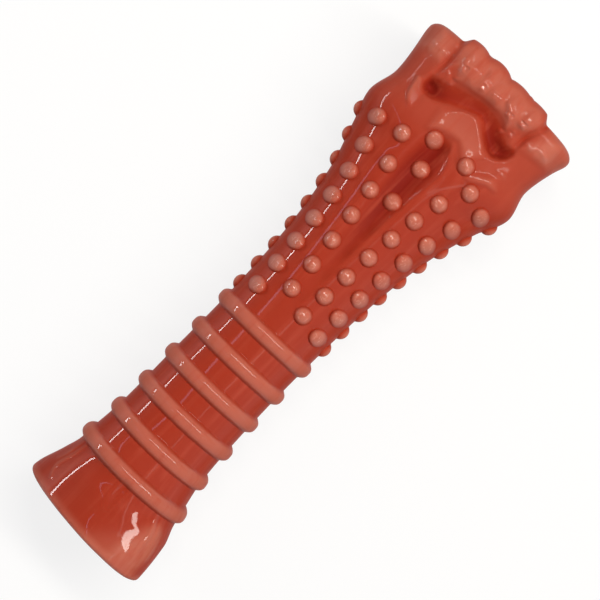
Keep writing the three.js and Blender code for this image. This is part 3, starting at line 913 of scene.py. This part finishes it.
class ChewBoneShape(bpy.types.PropertyGroup):
    """Sizes of the moulded relief"""

    foot_half_height: bpy.props.FloatProperty(
        name="Foot half-height", description="Axis to the top of the foot", default=0.0203, unit="LENGTH"
    )
    foot_lean: bpy.props.FloatProperty(
        name="Foot lean", description="Slope of the foot's section across the bone", default=0.25
    )
    foot_round: bpy.props.FloatProperty(
        name="Foot rim", description="Radius of the rim of the flat end", default=0.0014, unit="LENGTH"
    )
    foot_lobe: bpy.props.FloatProperty(
        name="Foot lobe", description="Swell of the right half of the foot", default=0.0013, unit="LENGTH"
    )
    foot_fold: bpy.props.FloatProperty(
        name="Foot folds", description="Height of the foot's thin folds", default=0.00045, unit="LENGTH"
    )
    head_round: bpy.props.FloatProperty(
        name="Head rim", description="Radius of the rim of the head's end", default=0.003, unit="LENGTH"
    )
    flute_depth: bpy.props.FloatProperty(
        name="Flute", description="Depth of the long channel of the shank", default=0.003, unit="LENGTH"
    )
    dish_depth: bpy.props.FloatProperty(
        name="Dish", description="Depth of the dish round the channel's end", default=0.0007, unit="LENGTH"
    )
    lip_rise: bpy.props.FloatProperty(
        name="Lip", description="Height of the tongue-shaped lip", default=0.0008, unit="LENGTH"
    )
    lozenge_rise: bpy.props.FloatProperty(
        name="Lozenge", description="Height of the lozenge by the left horn", default=0.0006, unit="LENGTH"
    )
    valley_depth: bpy.props.FloatProperty(
        name="Valley", description="Depth of the valley before the crest", default=0.0038, unit="LENGTH"
    )
    crest_rise: bpy.props.FloatProperty(
        name="Crest", description="Height of the scalloped crest", default=0.0018, unit="LENGTH"
    )
    bead_rise: bpy.props.FloatProperty(
        name="Beads", description="Height of the small beads along the crest", default=0.0004, unit="LENGTH"
    )
    lump_rise: bpy.props.FloatProperty(
        name="Lumps", description="Height of the lumps along the crest", default=0.0008, unit="LENGTH"
    )
    horn_rise: bpy.props.FloatProperty(
        name="Horn crown", description="Height of each horn's flat crown", default=0.0008, unit="LENGTH"
    )
    groove_depth: bpy.props.FloatProperty(
        name="Horn groove", description="Depth of the groove by each horn", default=0.0011, unit="LENGTH"
    )
    horn_setback: bpy.props.FloatProperty(
        name="Horn setback", description="Crest's tip to the horns' ends", default=0.0031, unit="LENGTH"
    )
    ring_rise: bpy.props.FloatProperty(
        name="Ring height", description="Crown of a chew ring above the shaft", default=0.002, unit="LENGTH"
    )
    ring_width: bpy.props.FloatProperty(
        name="Ring width", description="Width of a chew ring at its foot", default=0.0056, unit="LENGTH"
    )
    nub_radius: bpy.props.FloatProperty(
        name="Nub radius", description="Radius of the ball on top of a nub", default=0.00285, unit="LENGTH"
    )
    nub_rise: bpy.props.FloatProperty(
        name="Nub height", description="Height of a nub above the shank", default=0.002, unit="LENGTH"
    )
    nub_draw: bpy.props.FloatProperty(
        name="Nub draw", description="Upright height of a nub on a face over the nub height", default=1.25
    )
    edge_draw: bpy.props.FloatProperty(
        name="Edge nub draw", description="Height of a nub on an edge over the nub height", default=0.92
    )
    fillet: bpy.props.FloatProperty(
        name="Fillet", description="Radius at the foot of each nub and ring", default=0.0004, unit="LENGTH"
    )


class ChewBoneNylon(bpy.types.PropertyGroup):
    """Colour and gloss of the nylon, with its painted sheen, painted shade and painted glints"""

    skin_colour: bpy.props.FloatVectorProperty(
        name="Skin red",
        description="Colour of the plain skin",
        default=(0.333, 0.0298, 0.0116, 1.0),
        size=4,
        subtype="COLOR",
    )
    # Paler red of the nubs, rings and crests: partly whitened nylon, partly painted sheen
    raised_whitening_and_sheen: bpy.props.FloatVectorProperty(
        name="Raised red",
        description="Colour of the nubs, rings and crests",
        default=(0.49, 0.138, 0.09, 1.0),
        size=4,
        subtype="COLOR",
    )
    # Painted shade: the darker, deeper red that shades the deepest hollows
    hollow_shade_colour: bpy.props.FloatVectorProperty(
        name="Hollow red",
        description="Colour of the deepest hollows",
        default=(0.2, 0.008, 0.004, 1.0),
        size=4,
        subtype="COLOR",
    )
    pale_colour: bpy.props.FloatVectorProperty(
        name="Cloud",
        description="Colour of the paler clouds in the nylon",
        default=(0.41, 0.058, 0.03, 1.0),
        size=4,
        subtype="COLOR",
    )
    # Painted glints: pale specks on the nub crowns that stand in for the broken-up highlight
    painted_sparkle_colour: bpy.props.FloatVectorProperty(
        name="Speckle",
        description="Colour of the pale grain on the nubs",
        default=(0.68, 0.32, 0.24, 1.0),
        size=4,
        subtype="COLOR",
    )
    gloss_roughness: bpy.props.FloatProperty(
        name="Gloss", description="Roughness of the polished faces", default=0.4, subtype="FACTOR"
    )
    satin_roughness: bpy.props.FloatProperty(
        name="Satin", description="Roughness of the satin flanks", default=0.45, subtype="FACTOR"
    )
    coat: bpy.props.FloatProperty(
        name="Coat", description="Clear coat of the polished faces", default=0.42, subtype="FACTOR"
    )
    glow: bpy.props.FloatProperty(
        name="Glow", description="Share of light that spreads in the nylon", default=0.12, subtype="FACTOR"
    )


class ChewBoneStudio(bpy.types.PropertyGroup):
    """Strength of the studio's lamps"""

    key_power: bpy.props.FloatProperty(
        name="Key", description="Strip lamp above the head end", default=9.6, unit="POWER"
    )
    edge_power: bpy.props.FloatProperty(
        name="Edge strip", description="Narrow low strip lamp on the left", default=2.4, unit="POWER"
    )
    low_power: bpy.props.FloatProperty(
        name="Low strip", description="Dim strip lamp on the left by the floor", default=0.15, unit="POWER"
    )
    thin_power: bpy.props.FloatProperty(
        name="Thin strip", description="Thin dim strip lamp on the right", default=0.3, unit="POWER"
    )
    cool_power: bpy.props.FloatProperty(
        name="Cool strip", description="Thin bluish strip, high on the left", default=0.07, unit="POWER"
    )
    fill_power: bpy.props.FloatProperty(
        name="Fill", description="Weak broad lamp that leaves no highlight", default=0.35, unit="POWER"
    )
    surround: bpy.props.FloatProperty(
        name="Surround", description="Brightness of the room overhead and on the left", default=0.12
    )
    side_glow: bpy.props.FloatProperty(
        name="Side glow", description="Brightness gained towards the right and the foot", default=0.6
    )


class CHEWBONE_OT_foot(bpy.types.Operator):
    """Build the flared foot"""

    bl_idname = "chew_bone.foot"
    bl_label = "Foot"

    def execute(self, context):
        surface = BoneSurface(context.scene.chew_bone_shape)
        bm = moulded_stretch(surface, 0.0, SHAFT_START - HALF_GAP, along=70, around=300, across=8)
        make_piece("moulded_foot", bm, nylon(context.scene.chew_bone_nylon), "foot")
        return {"FINISHED"}


class CHEWBONE_OT_shaft(bpy.types.Operator):
    """Build the plain shaft under the rings"""

    bl_idname = "chew_bone.shaft"
    bl_label = "Shaft"

    def execute(self, context):
        surface = BoneSurface(context.scene.chew_bone_shape)
        start, end = SHAFT_START + HALF_GAP, SHANK_START - HALF_GAP
        bm = moulded_stretch(surface, start, end, along=120, around=180, across=2)
        make_piece("moulded_shaft", bm, nylon(context.scene.chew_bone_nylon), "shaft")
        return {"FINISHED"}


class CHEWBONE_OT_rings(bpy.types.Operator):
    """Build the six chew rings with fillets at their feet"""

    bl_idname = "chew_bone.rings"
    bl_label = "Chew rings"

    def execute(self, context):
        surface = BoneSurface(context.scene.chew_bone_shape)
        material = nylon(context.scene.chew_bone_nylon)
        for number, (node, place) in enumerate(zip(RING_NODES, RING_PLACES), 1):
            make_piece(f"chew_ring_{number}", self.ring(surface, place), material, node)
        return {"FINISHED"}

    def ring(self, surface, place):
        """A round profile spun about the bone, flattened into a low crown with a sunk root."""
        lift = 3.0
        bm = bmesh.new()
        bmesh.ops.create_circle(bm, segments=48, radius=1.0)
        for vert in bm.verts:
            vert.co = (vert.co.x, 0.0, vert.co.y + lift)
        spin_about_bone(bm, 200)
        along, angle, radius = bar_coordinates(bm)
        out = radius - lift
        rise, fillet = surface.shape.ring_rise / MM, surface.shape.fillet / MM
        half = surface.shape.ring_width / MM / 2
        offset = along * (half + fillet)
        crown = rise * (1.0 - np.abs(offset / half) ** 3)
        smooth = np.sqrt(crown**2 + fillet**2)
        height = np.where(out > 1e-6, (crown + smooth) / 2, out * rise)
        foot = surface.points(place + offset, angle)[0]
        outward = np.stack([np.zeros_like(angle), np.sin(angle), np.cos(angle)], axis=1)
        points = foot + outward * (height - RING_SINK)[:, None]
        # Paler crown: partly whitened nylon, partly painted sheen
        raised = 0.76 * smoothstep(height, 0.1 * rise, 0.8 * rise)
        polish = on_top(np.cos(angle)) * (1.0 - 0.2 * raised)
        set_points(bm, bm.verts, points, raised, polish)
        return bm


class CHEWBONE_OT_knuckle(bpy.types.Operator):
    """Build the fluted shank and the knuckle head as one skin"""

    bl_idname = "chew_bone.knuckle"
    bl_label = "Shank and head"

    def execute(self, context):
        surface = BoneSurface(context.scene.chew_bone_shape)
        start = SHANK_START + HALF_GAP
        bm = moulded_stretch(surface, start, BONE_END, along=240, around=360, across=12, crowd=0.45)
        make_piece("knuckle", bm, nylon(context.scene.chew_bone_nylon), "shank", "head")
        return {"FINISHED"}


def nub(bm, surface, place, angle, drawn):
    """Adds one nub: ball-crowned on the edges, and on the faces drawn straight up out of the mould."""
    shape = surface.shape
    ball, rise, fillet = shape.nub_radius / MM, shape.nub_rise / MM, shape.fillet / MM
    made = bmesh.ops.create_uvsphere(bm, u_segments=36, v_segments=24, radius=1.0)["verts"]
    raw = np.array([vert.co[:] for vert in made])
    reach = np.hypot(raw[:, 0], raw[:, 1])
    if drawn:
        skirt = ball + fillet
        rise = rise * shape.nub_draw
        fullness, skirt_rise = 0.55, 0.12
        above = rise * np.maximum(1.0 - (reach * skirt / ball) ** 2, 0.0) ** fullness
        above = above + skirt_rise * np.maximum(1.0 - reach, 0.0)
    else:
        rise = rise * shape.edge_draw
        centre = rise - ball
        skirt = math.sqrt((ball + fillet) ** 2 - (fillet - centre) ** 2)
        meet = ball / (ball + fillet)
        dome = centre + np.sqrt(np.maximum(ball**2 - (reach * skirt) ** 2, 0.0))
        round_foot = fillet - np.sqrt(np.maximum(fillet**2 - (skirt - reach * skirt) ** 2, 0.0))
        above = np.where(reach < meet, dome, round_foot)
    height = np.where(raw[:, 2] >= -1e-6, above, raw[:, 2] * rise)
    foot, normal = surface.patch(place, angle, raw[:, :2] * skirt, drawn)
    points = foot + normal[None, :] * (height - NUB_SINK)[:, None]
    # Paler crown: partly whitened nylon, partly painted sheen
    raised = smoothstep(height, 0.1 * rise, 0.95 * rise)
    outward = smoothstep(raw[:, 1] * math.sin(angle), 0.0, 0.6)
    polish = (0.4 + 1.1 * on_top(math.cos(angle))) * (1.0 - 0.8 * outward)
    set_points(bm, made, points, raised, polish * raised)


def nub_group(surface, spots, drawn):
    """All the nubs of one row or group in one mesh."""
    bm = bmesh.new()
    for name in ("raised", "polish"):
        bm.verts.layers.float.new(name)
    for place, angle in spots:
        nub(bm, surface, place, angle, drawn)
    return bm


# Nub rows: piece, CAD node, pitch, angle at both ends in degrees from the top towards +Y, ends on the shank
EDGE_ROWS = (
    ("left_edge_nubs", "nub_row_left_edge", 8.0, 87.0, 87.0, 0.076, 0.845),
    ("right_edge_nubs", "nub_row_right_edge", 8.0, -87.0, -87.0, 0.108, 0.852),
)
FACE_ROWS = (
    ("left_outer_nubs", "nub_row_left_outer", 8.8, 45.0, 48.0, 0.116, 0.857),
    ("left_inner_nubs", "nub_row_left_inner", 8.8, 12.0, 22.5, 0.194, 0.872),
    ("right_inner_nubs", "nub_row_right_inner", 8.8, -16.0, -28.0, 0.149, 0.884),
    ("right_outer_nubs", "nub_row_right_outer", 8.8, -48.0, -54.0, 0.126, 0.851),
)

# Single nubs: CAD node, place on the shank, angle in degrees from the top towards +Y
SINGLE_NUBS = (
    ("flute_nub_1", 0.669, -0.8),
    ("flute_nub_2", 0.824, 0.8),
    ("lip_nub_1", 0.934, 4.6),
    ("lip_nub_2", 0.942, -11.5),
)


def row_spots(pitch, first_angle, last_angle, first, last, turn):
    """Place and angle of each nub of a row, turned round the bone."""
    start, length = on_shank(first), on_shank(last) - on_shank(first)
    count = round(length / pitch)
    spots = []
    for share in [number / count for number in range(count + 1)]:
        angle = math.radians(first_angle + share * (last_angle - first_angle))
        spots.append((start + share * length, angle + turn))
    return spots


class CHEWBONE_OT_nub_rows(bpy.types.Operator):
    """Build the long rows of nubs round the shank"""

    bl_idname = "chew_bone.nub_rows"
    bl_label = "Nub rows"

    def execute(self, context):
        surface = BoneSurface(context.scene.chew_bone_shape)
        material = nylon(context.scene.chew_bone_nylon)
        for piece, node, *row in EDGE_ROWS:
            make_piece(piece, nub_group(surface, row_spots(*row, 0.0), False), material, node)
        for piece, node, *row in FACE_ROWS:
            make_piece(piece, nub_group(surface, row_spots(*row, 0.0), True), material, node)
            below = nub_group(surface, row_spots(*row, math.pi), True)
            make_piece(f"{piece}_below", below, material, f"{node}_below")
        return {"FINISHED"}


class CHEWBONE_OT_single_nubs(bpy.types.Operator):
    """Build the single nubs in the flute and on the lip, on both faces"""

    bl_idname = "chew_bone.single_nubs"
    bl_label = "Flute and lip nubs"

    def execute(self, context):
        surface = BoneSurface(context.scene.chew_bone_shape)
        material = nylon(context.scene.chew_bone_nylon)
        for ending, turn in (("", 0.0), ("_below", math.pi)):
            spots = [(on_shank(share), math.radians(angle) + turn) for _, share, angle in SINGLE_NUBS]
            nodes = [f"{node}{ending}" for node, _, _ in SINGLE_NUBS]
            make_piece(f"flute_and_lip_nubs{ending}", nub_group(surface, spots, True), material, *nodes)
        return {"FINISHED"}


def seen_from_bone(lean_x, lean_y):
    """Lamp's place, seen from the bone's middle at degrees from straight up towards +X and +Y."""
    way = Vector((math.tan(math.radians(lean_x)), math.tan(math.radians(lean_y)), 1.0)).normalized()
    return BONE_MIDDLE + way * LAMP_DISTANCE


def set_pose(thing, place, right, up, back):
    """Puts a lamp or camera at a place, turned to three directions at right angles."""
    turn = Matrix((right, up, back)).transposed().to_4x4()
    turn.translation = place
    thing.matrix_world = turn


def strip_lamp(name, power, place, long_way, length, breadth, colour):
    """Area lamp that faces the bone's middle, with its length along the given direction."""
    data = bpy.data.lights.new(name, "AREA")
    data.shape = "RECTANGLE"
    data.size = length
    data.size_y = breadth
    data.energy = power
    data.color = colour
    lamp = add_object(name, data)
    way = (place - BONE_MIDDLE).normalized()
    along = Vector(long_way)
    along = (along - way * along.dot(way)).normalized()
    set_pose(lamp, place, along, way.cross(along), way)
    return lamp


class CHEWBONE_OT_studio(bpy.types.Operator):
    """Build the white floor, the lamps and the camera of the photograph"""

    bl_idname = "chew_bone.studio"
    bl_label = "Studio"

    def execute(self, context):
        studio = context.scene.chew_bone_studio
        self.floor()
        self.room(context.scene, studio)
        along, across, diagonal = (1.0, 0.0, 0.0), (0.0, 1.0, 0.0), (0.2, 1.0, 0.0)
        white, warm, cool = (0.94, 0.97, 1.0), (1.0, 0.95, 0.88), (0.6, 0.68, 1.0)
        high_left = in_frame(55.0, 380.0, 500.0)
        strip_lamp("Key strip", studio.key_power, seen_from_bone(24, -15), across, 1.1, 0.12, warm)
        strip_lamp("Edge strip", studio.edge_power, seen_from_bone(-20, 76.5), along, 0.6, 0.04, white)
        strip_lamp("Low strip", studio.low_power, seen_from_bone(0, 85.5), along, 1.3, 0.12, white)
        strip_lamp("Thin strip", studio.thin_power, seen_from_bone(0, -24.5), along, 1.1, 0.05, warm)
        fill = strip_lamp("Fill", studio.fill_power, seen_from_bone(0, 50), along, 0.6, 0.4, warm)
        fill.visible_glossy = False
        strip_lamp("Cool strip", studio.cool_power, high_left, diagonal, 0.42, 0.012, cool)
        self.camera(context.scene)
        context.scene.view_settings.view_transform = "Standard"
        return {"FINISHED"}

    def floor(self):
        """White floor that keeps the bone's shadow and throws little light up at it."""
        bm = bmesh.new()
        bmesh.ops.create_grid(bm, x_segments=1, y_segments=1, size=3.0)
        material = bpy.data.materials.new("White floor")
        graph = Graph(material)
        seen = graph.seen()
        shade = graph.mix_colours(seen, (0.3, 0.3, 0.3, 1.0), (0.86, 0.86, 0.86, 1.0))
        paper = graph.add("ShaderNodeBsdfDiffuse", {}, {"Color": shade})
        white = graph.add("ShaderNodeEmission", {}, {"Color": (1.0, 1.0, 1.0, 1.0), "Strength": 1.0})
        mixed = graph.add("ShaderNodeMixShader", {}, {0: seen * 0.8, 1: paper, 2: white})
        graph.add("ShaderNodeOutputMaterial", {}, {"Surface": mixed})
        floor = add_mesh("floor", bm, material)

    def room(self, scene, studio):
        """Grey room, white at the horizon where it is seen and brighter towards the right and the foot."""
        scene.world = bpy.data.worlds.new("Room")
        graph = Graph(scene.world)
        way = graph.add("ShaderNodeTexCoord", {}, {}, "Generated")
        height = graph.add("ShaderNodeSeparateXYZ", {}, {0: way}, "Z")
        horizon = graph.smooth_range(height, 0.15, 0.02, 1.0)
        right_and_foot = (-0.6, -0.8, 0.0)
        dot_product = {"operation": "DOT_PRODUCT"}
        towards = graph.add("ShaderNodeVectorMath", dot_product, {0: way, 1: right_and_foot}, "Value")
        light = graph.smooth_range(towards, 0.0, 1.0, studio.side_glow) + studio.surround
        level = light + graph.seen() * horizon * (1.0 - light)
        sky = graph.add("ShaderNodeBackground", {}, {"Color": (1.0, 1.0, 1.0, 1.0), "Strength": level})
        graph.add("ShaderNodeOutputWorld", {}, {"Surface": sky})

    def camera(self, scene):
        """Camera of the photograph, which looks down at the bone."""
        data = bpy.data.cameras.new("Photo camera")
        data.sensor_width = 36.0
        data.lens = 120.0
        data.clip_start = 0.01
        place = in_frame(107.6, 0.0, 622.0)
        target = in_frame(97.2, -0.78, 0.0)
        forward = (target - place).normalized()
        photo_right = Vector((0.6909, -0.7230, 0.0))
        right = (photo_right - forward * photo_right.dot(forward)).normalized()
        camera = add_object("Photo camera", data)
        set_pose(camera, place, right, right.cross(forward), -forward)
        scene.camera = camera


class CHEWBONE_PT_panel(bpy.types.Panel):
    """Chew bone builder"""

    bl_idname = "CHEWBONE_PT_panel"
    bl_label = "Chew Bone"
    bl_space_type = "VIEW_3D"
    bl_region_type = "UI"
    bl_category = "Chew Bone"

    def draw(self, context):
        for group in GROUPS:
            settings = getattr(context.scene, group)
            box = self.layout.box()
            for name in settings.__annotations__:
                box.prop(settings, name)
        for operator in OPERATORS:
            self.layout.operator(operator.bl_idname)


GROUPS = {
    "chew_bone_shape": ChewBoneShape,
    "chew_bone_nylon": ChewBoneNylon,
    "chew_bone_studio": ChewBoneStudio,
}
OPERATORS = (
    CHEWBONE_OT_foot,
    CHEWBONE_OT_shaft,
    CHEWBONE_OT_rings,
    CHEWBONE_OT_knuckle,
    CHEWBONE_OT_nub_rows,
    CHEWBONE_OT_single_nubs,
    CHEWBONE_OT_studio,
)


def register():
    """Registers the classes and puts their settings on the scene."""
    for kind in (*GROUPS.values(), *OPERATORS, CHEWBONE_PT_panel):
        bpy.utils.register_class(kind)
    for name, kind in GROUPS.items():
        setattr(bpy.types.Scene, name, bpy.props.PointerProperty(type=kind))


def unregister():
    """Undoes what register did."""
    for name in GROUPS:
        delattr(bpy.types.Scene, name)
    for kind in reversed((*GROUPS.values(), *OPERATORS, CHEWBONE_PT_panel)):
        bpy.utils.unregister_class(kind)


def main():
    register()
    bpy.ops.chew_bone.foot()
    bpy.ops.chew_bone.shaft()
    bpy.ops.chew_bone.rings()
    bpy.ops.chew_bone.knuckle()
    bpy.ops.chew_bone.nub_rows()
    bpy.ops.chew_bone.single_nubs()
    bpy.ops.chew_bone.studio()


if __name__ == "__main__":
    main()
